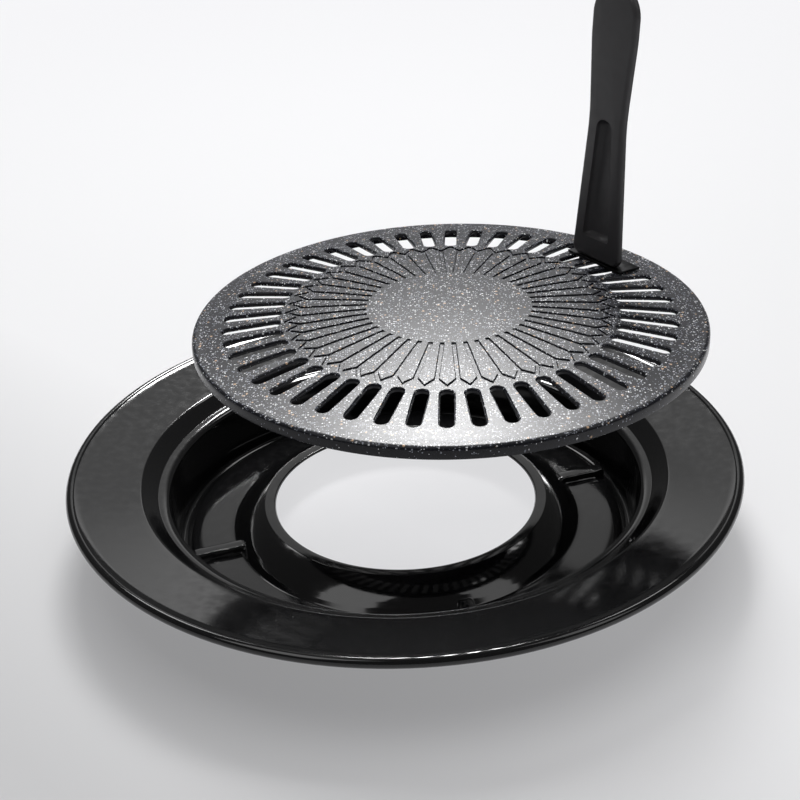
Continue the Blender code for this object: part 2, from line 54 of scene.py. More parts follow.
photoView = {
    "lens": 67.5,
    "sensor": 36.0,
    "clip": (0.05, 60.0),
    "pitchDown": 28.36,
    "roll": -2.37,
    "offset": (0.00207, 0.03108, 0.8992),   # lip centre seen from the camera
    "lipHeight": 0.050,
}


def placeCamera(settings):
    data = bpy.data.cameras.new("photoCamera")
    data.lens = settings["lens"]
    data.sensor_width = settings["sensor"]
    data.clip_start, data.clip_end = settings["clip"]
    camera = bpy.data.objects.new("photoCamera", data)
    bpy.context.scene.collection.objects.link(camera)
    pitch = math.radians(settings["pitchDown"])
    sine, cosine = math.sin(pitch), math.cos(pitch)
    tilt = Matrix(((1, 0, 0), (0, -sine, -cosine), (0, cosine, -sine)))
    look = Matrix.Rotation(math.radians(settings["roll"]), 3, "Z") @ tilt
    spot = -(look.transposed() @ Vector(settings["offset"])) + Vector((0, 0, settings["lipHeight"]))
    turned = Matrix((look[0], -look[1], -look[2])).transposed().to_4x4()
    camera.matrix_world = Matrix.Translation(spot) @ turned
    bpy.context.scene.camera = camera


placeCamera(photoView)
print("camera placed")


# Mesh helpers

mergeDistance = 0.00001


def linkMesh(name, bm):
    # a linked object that takes over a bmesh
    mesh = bpy.data.meshes.new(name)
    bm.to_mesh(mesh)
    bm.free()
    piece = bpy.data.objects.new(name, mesh)
    bpy.context.scene.collection.objects.link(piece)
    return piece


def newPiece(name, bm, material, sharpDegrees=None):
    piece = linkMesh(name, bm)
    piece.data.shade_smooth()
    if sharpDegrees:
        piece.data.set_sharp_from_angle(angle=math.radians(sharpDegrees))
    piece.data.materials.append(material)
    return piece


def profileWire(bm, corners):
    # a chain of points in the XZ plane, where (x, z) is a sharp corner and (x, z, radius, steps) an arc
    spots = [Vector((corner[0], 0, corner[1])) for corner in corners]
    points = [spots[0]]
    for index, corner in enumerate(corners[1:-1], 1):
        here = spots[index]
        if len(corner) == 2:
            points.append(here)
            continue
        radius, steps = corner[2:]
        back = (spots[index - 1] - here).normalized()
        ahead = (spots[index + 1] - here).normalized()
        half = back.angle(ahead) / 2
        centre = here + (back + ahead).normalized() * radius / math.sin(half)
        start = here + back * radius / math.tan(half) - centre
        end = here + ahead * radius / math.tan(half) - centre
        for step in range(steps + 1):
            points.append(centre + start.normalized().slerp(end.normalized(), step / steps) * radius)
    points.append(spots[-1])
    verts = [bm.verts.new(point) for point in points]
    for pair in zip(verts, verts[1:]):
        bm.edges.new(pair)
    return verts


def splitLong(bm, longest):
    # cuts every edge of a wire that is longer than the given length
    for edge in list(bm.edges):
        cuts = int(edge.calc_length() / longest)
        if cuts:
            bmesh.ops.subdivide_edges(bm, edges=[edge], cuts=cuts)


def everything(bm):
    return bm.verts[:] + bm.edges[:] + bm.faces[:]


def spinRound(bm, geom, degrees, steps, merge=False, duplicate=False):
    # spins about the Z axis and gives back the far end
    result = bmesh.ops.spin(bm, geom=geom, cent=(0, 0, 0), axis=(0, 0, 1), dvec=(0, 0, 0),
                            angle=math.radians(degrees), steps=steps, use_merge=merge,
                            use_duplicate=duplicate)
    return result["geom_last"]


def closeUp(bm, distance=mergeDistance):
    bmesh.ops.remove_doubles(bm, verts=bm.verts, dist=distance)
    bmesh.ops.recalc_face_normals(bm, faces=bm.faces)


def pullFace(bm, face, keepOld):
    # extrudes one face and gives back its new end; the old face stays only as the first cap
    raised = bmesh.ops.extrude_face_region(bm, geom=[face])["geom"]
    if not keepOld:
        bmesh.ops.delete(bm, geom=[face], context="FACES_ONLY")
    return next(item for item in raised if isinstance(item, bmesh.types.BMFace))


def cutWith(bm, tools):
    # exact boolean difference of one bmesh and a list of tool bmeshes
    blank = linkMesh("blank", bm)
    helpers = [linkMesh("tool", tool) for tool in tools]
    for helper in helpers:
        cut = blank.modifiers.new("cut", "BOOLEAN")
        cut.object = helper
        cut.operation = "DIFFERENCE"
        cut.solver = "EXACT"
    result = bmesh.new()
    result.from_object(blank, bpy.context.evaluated_depsgraph_get())
    for helper in [*helpers, blank]:
        bpy.data.objects.remove(helper, do_unlink=True)
    return result


# Material helpers

def addNode(tree, kind, inputs=None, **settings):
    node = tree.nodes.new(kind)
    for key, value in settings.items():
        setattr(node, key, value)
    for key, value in (inputs or {}).items():
        if isinstance(value, bpy.types.NodeSocket):
            tree.links.new(value, node.inputs[key])
        else:
            node.inputs[key].default_value = value
    return node


def addMath(tree, operation, *values):
    return addNode(tree, "ShaderNodeMath", dict(enumerate(values)), operation=operation).outputs[0]


def addRamp(tree, source, reach, give, **settings):
    # maps the range reach of a value to the range give
    limits = dict(zip(("From Min", "From Max", "To Min", "To Max"), (*reach, *give)))
    return addNode(tree, "ShaderNodeMapRange", {"Value": source, **limits}, **settings).outputs["Result"]


class Finish:
    # a Principled material and short ways to add nodes to it
    def __init__(self, name, colour, roughness, metallic=0.0):
        self.material = bpy.data.materials.new(name)
        self.material.use_nodes = True
        self.tree = self.material.node_tree
        self.shader = self.tree.nodes["Principled BSDF"]
        self.shader.inputs["Base Color"].default_value = (*colour, 1)
        self.shader.inputs["Roughness"].default_value = roughness
        self.shader.inputs["Metallic"].default_value = metallic
        self.coords = self.add("ShaderNodeTexCoord").outputs["Object"]

    def add(self, kind, inputs=None, **settings):
        return addNode(self.tree, kind, inputs, **settings)

    def use(self, group, **values):
        return self.add("ShaderNodeGroup", {"Coords": self.coords, **values}, node_tree=group)

    def mix(self, factor, under, over):
        # blends two colours, each a socket or three numbers
        first, second = (colour if isinstance(colour, bpy.types.NodeSocket) else (*colour, 1)
                         for colour in (under, over))
        inputs = {"Factor": factor, "A": first, "B": second}
        return self.add("ShaderNodeMix", inputs, data_type="RGBA").outputs["Result"]

    def drive(self, socket, source):
        self.tree.links.new(source, self.shader.inputs[socket])

    def bump(self, height, strength, distance):
        node = self.add("ShaderNodeBump", {"Height": height, "Strength": strength, "Distance": distance})
        self.drive("Normal", node.outputs["Normal"])


def newGroup(name, inputs, outputs):
    # a node group that takes coordinates and numbers and gives numbers
    group = bpy.data.node_groups.new(name, "ShaderNodeTree")
    group.interface.new_socket("Coords", in_out="INPUT", socket_type="NodeSocketVector")
    for key in inputs:
        group.interface.new_socket(key, in_out="INPUT", socket_type="NodeSocketFloat")
    for key in outputs:
        group.interface.new_socket(key, in_out="OUTPUT", socket_type="NodeSocketFloat")
    return group, group.nodes.new("NodeGroupInput").outputs, group.nodes.new("NodeGroupOutput").inputs


def makeGrainGroup():
    # fine cast or moulded grain over a slower waviness, plus a cloudy tone
    group, given, out = newGroup("surfaceGrain", ("Fine", "Coarse", "Mix"), ("Height", "Cloud"))
    fine = addNode(group, "ShaderNodeTexNoise",
                   {"Vector": given["Coords"], "Scale": given["Fine"], "Detail": 2.0})
    coarse = addNode(group, "ShaderNodeTexNoise",
                     {"Vector": given["Coords"], "Scale": given["Coarse"], "Detail": 1.0})
    height = addNode(group, "ShaderNodeMix", {"Factor": given["Mix"]}, data_type="FLOAT")
    group.links.new(coarse.outputs["Fac"], height.inputs["A"])
    group.links.new(fine.outputs["Fac"], height.inputs["B"])
    group.links.new(height.outputs["Result"], out["Height"])
    group.links.new(coarse.outputs["Fac"], out["Cloud"])
    return group


def makeSpeckGroup(smallest):
    # scattered round specks: one candidate in each cell, kept by a random draw
    group, given, out = newGroup("scatteredSpecks", ("Scale", "Share", "Size"), ("Mask",))
    cells = addNode(group, "ShaderNodeTexVoronoi", {"Vector": given["Coords"], "Scale": given["Scale"]})
    draw = addNode(group, "ShaderNodeSeparateColor", {"Color": cells.outputs["Color"]}).outputs
    kept = addMath(group, "LESS_THAN", draw["Red"], given["Share"])
    spread = addRamp(group, draw["Green"], (0, 1), (smallest, 1))
    reach = addMath(group, "MULTIPLY", spread, given["Size"])
    inside = addMath(group, "LESS_THAN", cells.outputs["Distance"], reach)
    group.links.new(addMath(group, "MULTIPLY", kept, inside), out["Mask"])
    return group


surfaceGrain = makeGrainGroup()
scatteredSpecks = makeSpeckGroup(smallest=0.55)
cloudReach = (0.3, 0.7)   # where nearly all of the cloudy tone lies


def grainedFinish(name, settings):
    # one colour under a fine grain, with a roughness that drifts with the clouds
    low, high = settings["roughness"]
    finish = Finish(name, settings["colour"], (low + high) / 2, settings["metallic"])
    finish.shader.inputs["IOR"].default_value = settings["index"]
    grain = finish.use(surfaceGrain, **settings["grain"])
    finish.drive("Roughness", addRamp(finish.tree, grain.outputs["Cloud"], cloudReach, (low, high)))
    finish.bump(grain.outputs["Height"], *settings["bump"])
    return finish.material


# Drip tray

tray = {
    "radius": 0.2000,
    "height": 0.0500,
    "sheet": 0.0010,
    "beadRadius": 0.0030,
    "beadStart": (0.76, 0.29),     # inwards from its axis and down from the top, in bead radii
    "beadTurn": (128, -91, -14),   # first angle, limit and step of the rolled part
    "beadEnd": (0.50, 2.00),       # as beadStart
    "brimFall": 0.0061,
    "brimInner": 0.1566,
    "holeRadius": 0.0787,
    "holeDrop": 0.0012,
    "rimOuter": 0.0855,
    "rimHeight": 0.0200,
    "coneFoot": 0.1046,
    "coneBulge": 0.0016,
    "coneRuns": 6,
    "plateauHeight": 0.0062,
    "plateauOuter": 0.1294,
    "wellInner": 0.1332,
    "wellOuter": 0.1372,
    "seatInner": 0.1420,
    "seatOuter": 0.1475,
    "seatHeight": 0.0365,
    # corners of the section: shift outwards, shift upwards, rounding, steps of its arc
    "bends": {
        "hole": (0.0008, 0.0, 0.0006, 3),
        "rim": (0.0, 0.0, 0.0022, 5),
        "coneFoot": (0.0, 0.0, 0.0014, 4),
        "plateauSlope": (-0.0032, 0.0, 0.0160, 6),
        "plateauEdge": (0.0004, -0.0011, 0.0040, 6),
        "wellInner": (0.0, 0.0, 0.0017, 4),
        "wellOuter": (0.0, 0.0, 0.0022, 5),
        "seatEdge": (-0.0012, -0.0016, 0.0030, 7),
        "seatSlope": (0.0030, 0.0, 0.0100, 6),
        "seatOuter": (0.0, 0.0, 0.0016, 4),
        "brim": (0.0, 0.0, 0.0044, 8),
    },
    "ribCount": 4,
    "ribAzimuth": 17.5,
    "ribSector": 9.0,
    "ribWidth": 0.0098,
    "ribTop": 0.0104,
    "ribInner": 0.1010,
    "ribOuter": 0.1325,
    "ribSlope": 0.0014,
    "ribCorner": 0.6,     # rounding of its top in plan, in slopes
    "ribCrown": 0.0003,
    "ribMargin": 0.0020,
    "ribSteps": 34,
    "plainSteps": 36,
    "longestRun": 0.0035,
    "fineBands": ((0.1279, 0.1342), (0.0990, 0.1050)),   # radii where a rib ends
    "fineLimit": 0.0007,
    "fineRun": 0.0006,
    "enamel": {
        "colour": (0.006, 0.006, 0.0065),
        "roughness": (0.07, 0.12),
        "metallic": 0.0,
        "index": 1.52,
        "grain": {"Fine": 900.0, "Coarse": 190.0, "Mix": 0.10},
        "bump": (0.022, 0.0004),
    },
}


def trayCorners(size):
    # the upper side of the sheet, from the hole's turned edge to the underside of the rolled lip
    def bend(name, radius, height):
        outwards, upwards, rounding, steps = size["bends"][name]
        return (radius + outwards, height + upwards, rounding, steps)

    bead = size["beadRadius"]
    beadCentre = size["radius"] - bead
    corners = [(size["holeRadius"], size["rimHeight"] - size["holeDrop"]),
               bend("hole", size["holeRadius"], size["rimHeight"]),
               bend("rim", size["rimOuter"], size["rimHeight"])]
    run = Vector((size["coneFoot"] - size["rimOuter"], size["plateauHeight"] - size["rimHeight"]))
    left = Vector((-run.y, run.x)).normalized()
    for step in range(1, size["coneRuns"]):
        share = step / size["coneRuns"]
        bow = left * size["coneBulge"] * 4 * share * (1 - share)
        corners.append((size["rimOuter"] + run.x * share + bow.x, size["rimHeight"] + run.y * share + bow.y))
    corners += [bend("coneFoot", size["coneFoot"], size["plateauHeight"]),
                bend("plateauSlope", size["plateauOuter"], size["plateauHeight"]),
                bend("plateauEdge", size["plateauOuter"], size["plateauHeight"]),
                bend("wellInner", size["wellInner"], size["sheet"]),
                bend("wellOuter", size["wellOuter"], size["sheet"]),
                bend("seatEdge", size["seatInner"], size["seatHeight"]),
                bend("seatSlope", size["seatInner"], size["seatHeight"]),
                bend("seatOuter", size["seatOuter"], size["seatHeight"]),
                bend("brim", size["brimInner"], size["height"] - size["brimFall"])]
    inwards, down = size["beadStart"]
    corners.append((beadCentre - bead * inwards, size["height"] - bead * down))
    for angle in range(*size["beadTurn"]):
        turned = math.radians(angle)
        across, upwards = bead * math.cos(turned), bead * math.sin(turned)
        corners.append((beadCentre + across, size["height"] - bead + upwards))
    inwards, down = size["beadEnd"]
    corners.append((beadCentre - bead * inwards, size["height"] - bead * down))
    return corners


def ribHeight(point, size):
    # the rounded bars that bridge the plateau, pressed up out of the sheet
    middle = (size["ribInner"] + size["ribOuter"]) / 2
    halfLength = (size["ribOuter"] - size["ribInner"]) / 2
    halfWidth = size["ribWidth"] / 2
    inset = size["ribSlope"] * (1 + size["ribCorner"])
    best = point.z
    for index in range(size["ribCount"]):
        azimuth = math.radians(size["ribAzimuth"] + 360 / size["ribCount"] * index)
        along = point.x * math.cos(azimuth) + point.y * math.sin(azimuth)
        across = abs(-point.x * math.sin(azimuth) + point.y * math.cos(azimuth))
        if along < 0 or across > size["ribWidth"]:
            continue
        beyond = max(abs(along - middle) - halfLength + inset, 0)
        aside = max(across - halfWidth + inset, 0)
        outside = math.hypot(beyond, aside) - size["ribSlope"] * size["ribCorner"]
        share = min(max(outside / size["ribSlope"], 0), 1)
        mask = 1 - share * share * (3 - 2 * share)
        crown = size["ribTop"] - size["ribCrown"] * min(across / halfWidth, 1) ** 2
        best = max(best, point.z + max(crown - point.z, 0) * mask)
    return best


def buildTray(size, material):
    bm = bmesh.new()
    profileWire(bm, trayCorners(size))
    splitLong(bm, size["longestRun"])
    for edge in list(bm.edges):
        middle = (edge.verts[0].co + edge.verts[1].co) / 2
        length = edge.calc_length()
        if length > size["fineLimit"] and any(low < middle.x < high for low, high in size["fineBands"]):
            bmesh.ops.subdivide_edges(bm, edges=[edge], cuts=int(length / size["fineRun"]))
    start = Matrix.Rotation(math.radians(size["ribAzimuth"] - size["ribSector"] / 2), 3, "Z")
    bmesh.ops.rotate(bm, verts=bm.verts, cent=(0, 0, 0), matrix=start)
    last = everything(bm)
    for index in range(size["ribCount"]):
        last = spinRound(bm, last, size["ribSector"], size["ribSteps"])
        last = spinRound(bm, last, 360 / size["ribCount"] - size["ribSector"], size["plainSteps"])
    closeUp(bm)
    # the open sheet's normals have to point up
    top = max(bm.faces, key=lambda face: face.calc_center_median().z if face.normal.z else -1)
    if top.normal.z < 0:
        bmesh.ops.reverse_faces(bm, faces=bm.faces)
    for vert in bm.verts:
        if size["ribInner"] - size["ribMargin"] < vert.co.xy.length < size["ribOuter"] + size["ribMargin"]:
            vert.co.z = ribHeight(vert.co, size)
    piece = newPiece("dripTray", bm, material)
    wall = piece.modifiers.new("sheet", "SOLIDIFY")
    wall.thickness = size["sheet"]
    wall.offset = -1
    wall.use_even_offset = True
    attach(piece, "tray")
    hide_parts("drip_tray")


buildTray(tray, grainedFinish("trayEnamel", tray["enamel"]))
print("drip tray made")


# Grill plate

plate = {
    "edge": 0.0070,
    "rounding": 0.0025,
    "roundingSteps": 7,
    "shoulderLift": 0.0001,
    "wall": 0.0025,
    "domeRise": 0.0090,
    "domeRings": (0.0005, 0.006, 0.012, 0.020, 0.028, 0.036, 0.044, 0.052, 0.060, 0.068, 0.076, 0.084, 0.092,
                  0.100, 0.108, 0.116, 0.124, 0.132, 0.138, 0.1415),
    "ringMargin": 0.0020,
    "wedgeSteps": 6,
    "footWidth": 0.0082,
    "footStep": 0.0020,
    "footBend": (0.0006, 3),    # rounding, steps of its arc
    "stepBend": (0.0008, 3),
    "slotCount": 48,
    "slotAzimuth": 4.2,
    "slotWidth": 0.0072,
    "slotOuter": 0.1291,
    "slotInner": 0.0957,
    "slotSteps": 12,
    "slotChamfer": 0.0009,
    # levels of the slot's wall: height over the dome and flare, in chamfers
    "slotLevels": ((-1.25, 0.0), (-0.75, 0.12), (-0.35, 0.38), (0.0, 0.85), (2.0, 4.0)),
    "grooveStart": 0.0470,
    "grooveFork": 0.0850,
    "grooveTip": 0.0930,
    "grooveWidth": 0.0026,
    "grooveDepth": 0.0009,
    # right side of the groove's section: offset in half widths, height in depths
    "grooveSection": ((0.72, -1.0), (0.90, -0.25), (1.08, 0.0), (1.70, 1.0)),
    "grooveOverlap": 0.0004,
    "grooveRuns": 10,
    "forkRuns": 4,
    "overrun": 0.0030,
    "sharpDegrees": 25,
    "cutDistance": 0.000001,
    "mirrorDistance": 0.000005,
    "seamDistance": 0.000008,
    "coating": {
        "tones": ((0.004, 0.0043, 0.007), (0.010, 0.0105, 0.016)),
        "index": 1.38,
        "flatReach": (0.3, 0.8),       # upward part of the normal, from the rim to the face
        "roughness": (0.24, 0.37),     # rim, face
        "rimShare": (0.18, 1.0),       # share of the specks that is kept: rim, face
        "grain": {"Fine": 2600.0, "Coarse": 420.0, "Mix": 0.6},
        "bump": (0.25, 0.0002),
        # cells for each metre, share of cells with a speck, its size in cells, its colour
        "specks": ((1900.0, 0.40, 0.50, (0.040, 0.044, 0.060)), (1000.0, 0.32, 0.48, (0.36, 0.38, 0.44)),
                   (820.0, 0.19, 0.47, (0.84, 0.85, 0.87)), (560.0, 0.050, 0.45, (0.62, 0.42, 0.26))),
    },
}


def domeHeight(radius, size=plate):
    crown = plateRadius - size["rounding"]
    return size["edge"] + size["domeRise"] * (1 - (radius / crown) ** 2)


def plateCorners(size):
    # half section, from the top of the dome round the rim and back below it
    wall, rings = size["wall"], size["domeRings"]
    shoulder = domeHeight(plateRadius - size["rounding"]) + size["shoulderLift"]
    inner = plateRadius - size["footWidth"]
    step = inner - size["footStep"]
    corners = [(radius, domeHeight(radius)) for radius in (0.0, *rings)]
    corners += [(plateRadius, shoulder, size["rounding"], size["roundingSteps"]),
                (plateRadius, 0.0, *size["footBend"]),
                (inner, 0.0, *size["footBend"]),
                (step, domeHeight(step) - wall, *size["stepBend"])]
    under = [radius for radius in reversed(rings) if radius < step - size["ringMargin"]]
    corners += [(radius, domeHeight(radius) - wall) for radius in (*under, 0.0)]
    return corners


def slotTool(size):
    # upright stadium with a flared mouth that follows the dome's slope
    bm = bmesh.new()
    half = size["slotWidth"] / 2
    near, far = size["slotInner"] + half, size["slotOuter"] - half
    outline = []
    for centre, start in ((far, -90), (near, 90)):
        for step in range(size["slotSteps"] + 1):
            angle = math.radians(start + 180 / size["slotSteps"] * step)
            along, across = half * math.cos(angle), half * math.sin(angle)
            outline.append(bm.verts.new((centre + along, across, -size["overrun"])))
    face = bm.faces.new(outline)
    chamfer = size["slotChamfer"]
    for level, (height, flare) in enumerate(size["slotLevels"]):
        face = pullFace(bm, face, level == 0)
        for vert in face.verts:
            base = Vector((min(max(vert.co.x, near), far), 0))
            way = (vert.co.xy - base).normalized()
            spot = base + way * (half + chamfer * flare)
            vert.co = Vector((spot.x, spot.y, domeHeight(spot.length) + chamfer * height))
    bmesh.ops.recalc_face_normals(bm, faces=bm.faces)
    return bm


def channelTool(size, start, end, runs):
    # a flat-bottomed channel from one point of the dome to another, as a bar cut across into short runs
    bm = bmesh.new()
    line = Vector(end) - Vector(start)
    side = Vector((-line.y, line.x)).normalized()
    half = size["grooveWidth"] / 2
    right = [(half * offset, size["grooveDepth"] * lift) for offset, lift in size["grooveSection"]]
    left = [(-across, lift) for across, lift in reversed(right)]
    ring = []
    for across, lift in (left[-1], *right, *left[:-1]):
        spot = Vector(start) + side * across
        ring.append(bm.verts.new((spot.x, spot.y, lift)))
    face = bm.faces.new(ring)
    for step in range(runs):
        face = pullFace(bm, face, step == 0)
        bmesh.ops.translate(bm, verts=face.verts, vec=(line.x / runs, line.y / runs, 0))
    for vert in bm.verts:
        vert.co.z += domeHeight(vert.co.xy.length)
    bmesh.ops.recalc_face_normals(bm, faces=bm.faces)
    return bm


def buildPlate(size, material):
    # half of one slot's sector is cut, mirrored and copied round
    half = 180 / size["slotCount"]
    turned = math.radians(half)
    bm = bmesh.new()
    section = bm.faces.new(profileWire(bm, plateCorners(size)))
    bmesh.ops.rotate(bm, verts=bm.verts, cent=(0, 0, 0), matrix=Matrix.Rotation(-turned, 3, "Z"))
    spinRound(bm, [section], half * 3, size["wedgeSteps"])
    closeUp(bm)

    def at(radius, angle):
        return Vector((radius * math.cos(angle), radius * math.sin(angle)))

    overlap = size["grooveOverlap"]
    fork, tip = at(size["grooveFork"], turned), at(size["grooveTip"], 0)
    run = (tip - fork).normalized() * overlap
    tools = [slotTool(size),
             channelTool(size, at(size["grooveStart"], turned), at(size["grooveFork"] + overlap, turned),
                         size["grooveRuns"]),
             channelTool(size, fork - run, tip + run, size["forkRuns"])]
    bm = cutWith(bm, tools)
    for azimuth, sign in ((0, 1), (turned, -1)):
        normal = Vector((math.sin(azimuth), -math.cos(azimuth), 0)) * sign
        bmesh.ops.bisect_plane(bm, geom=everything(bm), dist=size["cutDistance"], plane_co=(0, 0, 0),
                               plane_no=normal, clear_outer=True, clear_inner=False)
    bmesh.ops.mirror(bm, geom=everything(bm), matrix=Matrix.Identity(4), merge_dist=size["mirrorDistance"],
                     axis="Y")
    bmesh.ops.recalc_face_normals(bm, faces=bm.faces)
    spinRound(bm, everything(bm), 360 - 360 / size["slotCount"], size["slotCount"] - 1, duplicate=True)
    closeUp(bm, size["seamDistance"])
    bmesh.ops.delete(bm, geom=[edge for edge in bm.edges if edge.is_wire], context="EDGES")
    spin = Matrix.Rotation(math.radians(size["slotAzimuth"]), 4, "Z")
    bmesh.ops.transform(bm, matrix=Matrix.Translation(plateCentre) @ spin, verts=bm.verts)
    piece = newPiece("grillPlate", bm, material, size["sharpDegrees"])
    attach(piece, "plate")
    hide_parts("grill_plate")


def coatingFinish(settings):
    dark, light = settings["tones"]
    finish = Finish("speckledCoating", light, settings["roughness"][1])
    finish.shader.inputs["IOR"].default_value = settings["index"]
    # the upright rim is smoother and has few specks
    normal = finish.add("ShaderNodeNewGeometry").outputs["Normal"]
    slope = finish.add("ShaderNodeSeparateXYZ", {0: normal}).outputs["Z"]
    flat = addRamp(finish.tree, slope, settings["flatReach"], (0, 1))
    finish.drive("Roughness", addRamp(finish.tree, flat, (0, 1), settings["roughness"]))
    rimShare = addRamp(finish.tree, flat, (0, 1), settings["rimShare"])
    grain = finish.use(surfaceGrain, **settings["grain"])
    colour = finish.mix(grain.outputs["Cloud"], dark, light)
    for scale, share, reach, tint in settings["specks"]:
        kept = addMath(finish.tree, "MULTIPLY", rimShare, share)
        specks = finish.use(scatteredSpecks, Scale=scale, Share=kept, Size=reach)
        colour = finish.mix(specks.outputs["Mask"], colour, tint)
    finish.drive("Base Color", colour)
    finish.bump(grain.outputs["Height"], *settings["bump"])
    return finish.material


buildPlate(plate, coatingFinish(plate["coating"]))
print("grill plate made")


# Handle: grip, hook plate and two screws, all in the tilted frame of the handle's joint

handle = {
    "lean": -4.0,
    "footHalf": 0.0205,
    "footBend": (0.0058, 8),    # rounding, steps of its arc
    "waistHalf": 0.0144,
    "waistBend": (0.15, 8),
    "headHalf": 0.0180,
    "headBend": (0.10, 5),
    "endShare": 0.98,           # rounding of the head's end, as a share of headHalf
    "endSteps": 14,
    "base": 0.0018,
    "waistHeight": 0.0879,
    "headHeight": 0.1350,
    "length": 0.1650,
    "edge": 0.0040,
    "crown": (0.0030, 0.0020),
    "crownSlope": 0.0035,
    "frontRadius": 0.0026,
    "frontSteps": 5,
    "recessBottom": 0.0150,
    "recessTop": 0.0879,
    "recessFoot": 0.0112,
    "recessFootBend": (0.0022, 5),
    "recessHead": 0.0060,
    "recessEndShare": 0.94,     # rounding of the recess's end, as a share of recessHead
    "recessEndSteps": 8,
    "recessDepth": 0.0042,
    "recessSlope": 0.0030,
    "recessShares": ((0.14, 0.38), (0.22, 0.34), (0.64, 0.28)),   # shares of the slope and of the depth
    "overrun": 0.0020,
    "rounding": 0.0008,
    "roundingSteps": 3,
    "roundedDegrees": 40,
    "sharpDegrees": 35,
    "resin": {
        "colour": (0.046, 0.044, 0.047),
        "roughness": (0.36, 0.47),
        "metallic": 0.0,
        "index": 1.5,
        "grain": {"Fine": 3200.0, "Coarse": 200.0, "Mix": 0.7},
        "bump": (0.2, 0.0001),
    },
}


def handleMatrix(size):
    joint = next(joint for joint in frame["joints"] if joint["name"] == "handle_tilt")
    across = Vector(joint["axis"]).normalized()
    outward = Vector((0, 0, 1)).cross(across)
    turned = Matrix((across, outward, Vector((0, 0, 1)))).transposed().to_4x4()
    return Matrix.Translation(joint["pos_m"]) @ turned @ Matrix.Rotation(math.radians(size["lean"]), 4, "X")


def closedFace(bm, corners):
    # the right half of an outline, mirrored into one flat face
    profileWire(bm, corners)
    bmesh.ops.mirror(bm, geom=everything(bm), matrix=Matrix.Identity(4), merge_dist=mergeDistance, axis="X")
    bmesh.ops.remove_doubles(bm, verts=bm.verts, dist=mergeDistance)
    return bmesh.ops.contextual_create(bm, geom=bm.edges[:])["faces"][0]


def recessTool(size):
    bm = bmesh.new()
    bottom, top, head = size["recessBottom"], size["recessTop"], size["recessHead"]
    face = closedFace(bm, [(0, bottom), (size["recessFoot"], bottom, *size["recessFootBend"]),
                           (head, top, head * size["recessEndShare"], size["recessEndSteps"]), (0, top)])
    face.normal_update()
    if face.normal.y < 0:
        face.normal_flip()
    bmesh.ops.translate(bm, verts=bm.verts, vec=(0, -size["overrun"], 0))
    face = pullFace(bm, face, True)
    bmesh.ops.translate(bm, verts=face.verts, vec=(0, size["overrun"], 0))
    bmesh.ops.recalc_face_normals(bm, faces=bm.faces)
    for inward, down in size["recessShares"]:
        bmesh.ops.inset_region(bm, faces=[face], thickness=size["recessSlope"] * inward,
                               depth=size["recessDepth"] * down, use_even_offset=True)
    return bm


def buildGrip(size, material):
    bm = bmesh.new()
    head = size["headHalf"]
    front = closedFace(bm, [(0, size["base"]), (size["footHalf"], size["base"], *size["footBend"]),
                            (size["waistHalf"], size["waistHeight"], *size["waistBend"]),
                            (head, size["headHeight"], *size["headBend"]),
                            (head, size["length"], head * size["endShare"], size["endSteps"]),
                            (0, size["length"])])
    radius = size["frontRadius"]
    bmesh.ops.translate(bm, verts=bm.verts, vec=(0, radius, 0))
    back = pullFace(bm, front, True)
    bmesh.ops.translate(bm, verts=back.verts, vec=(0, size["edge"] - radius, 0))
    bmesh.ops.recalc_face_normals(bm, faces=bm.faces)
    # rounded edge of the front, then the low crown of the back
    for step in range(size["frontSteps"]):
        turn, after = (math.pi / 2 * share / size["frontSteps"] for share in (step, step + 1))
        bmesh.ops.inset_region(bm, faces=[front], thickness=radius * (math.cos(turn) - math.cos(after)),
                               depth=radius * (math.sin(after) - math.sin(turn)), use_even_offset=True)
    for depth in size["crown"]:
        bmesh.ops.inset_region(bm, faces=[back], thickness=size["crownSlope"], depth=depth,
                               use_even_offset=True)
    bm = cutWith(bm, [recessTool(size)])
    bmesh.ops.transform(bm, matrix=handleMatrix(size), verts=bm.verts)
    piece = newPiece("handleGrip", bm, material, size["sharpDegrees"])
    edges = piece.modifiers.new("rounded", "BEVEL")
    edges.width = size["rounding"]
    edges.segments = size["roundingSteps"]
    edges.limit_method = "ANGLE"
    edges.angle_limit = math.radians(size["roundedDegrees"])
    edges.harden_normals = True
    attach(piece, "handle")
    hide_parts("handle_grip")


# shared by the steel of the hook plate and of the screws
steelGrain = {
    "metallic": 0.9,
    "index": 1.5,
    "grain": {"Fine": 1800.0, "Coarse": 300.0, "Mix": 0.5},
    "bump": (0.15, 0.0001),
}

hookPlate = {
    "flatDegrees": 2,
    "shearedDegrees": 50,
    "rounding": 0.0003,
    "roundingSteps": 2,
    "sharpDegrees": 40,
    "steel": {"colour": (0.014, 0.014, 0.015), "roughness": (0.288, 0.432), **steelGrain},
}


def buildHookPlate(size, material):
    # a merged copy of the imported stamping, with its sheared edges rounded
    bm = bmesh.new()
    bm.from_mesh(frame["nodes"]["hook_plate"].data)
    bmesh.ops.remove_doubles(bm, verts=bm.verts, dist=mergeDistance)
    flat, least = math.radians(size["flatDegrees"]), math.radians(size["shearedDegrees"])
    bmesh.ops.dissolve_limit(bm, angle_limit=flat, verts=bm.verts, edges=bm.edges)
    sheared = [edge for edge in bm.edges if edge.is_manifold and edge.calc_face_angle(0) > least]
    bmesh.ops.bevel(bm, geom=sheared, affect="EDGES", offset=size["rounding"], offset_type="OFFSET",
                    segments=size["roundingSteps"], profile=0.5, clamp_overlap=True, material=-1)
    piece = newPiece("hookPlate", bm, material, size["sharpDegrees"])
    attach(piece, "handle")
    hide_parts("hook_plate")


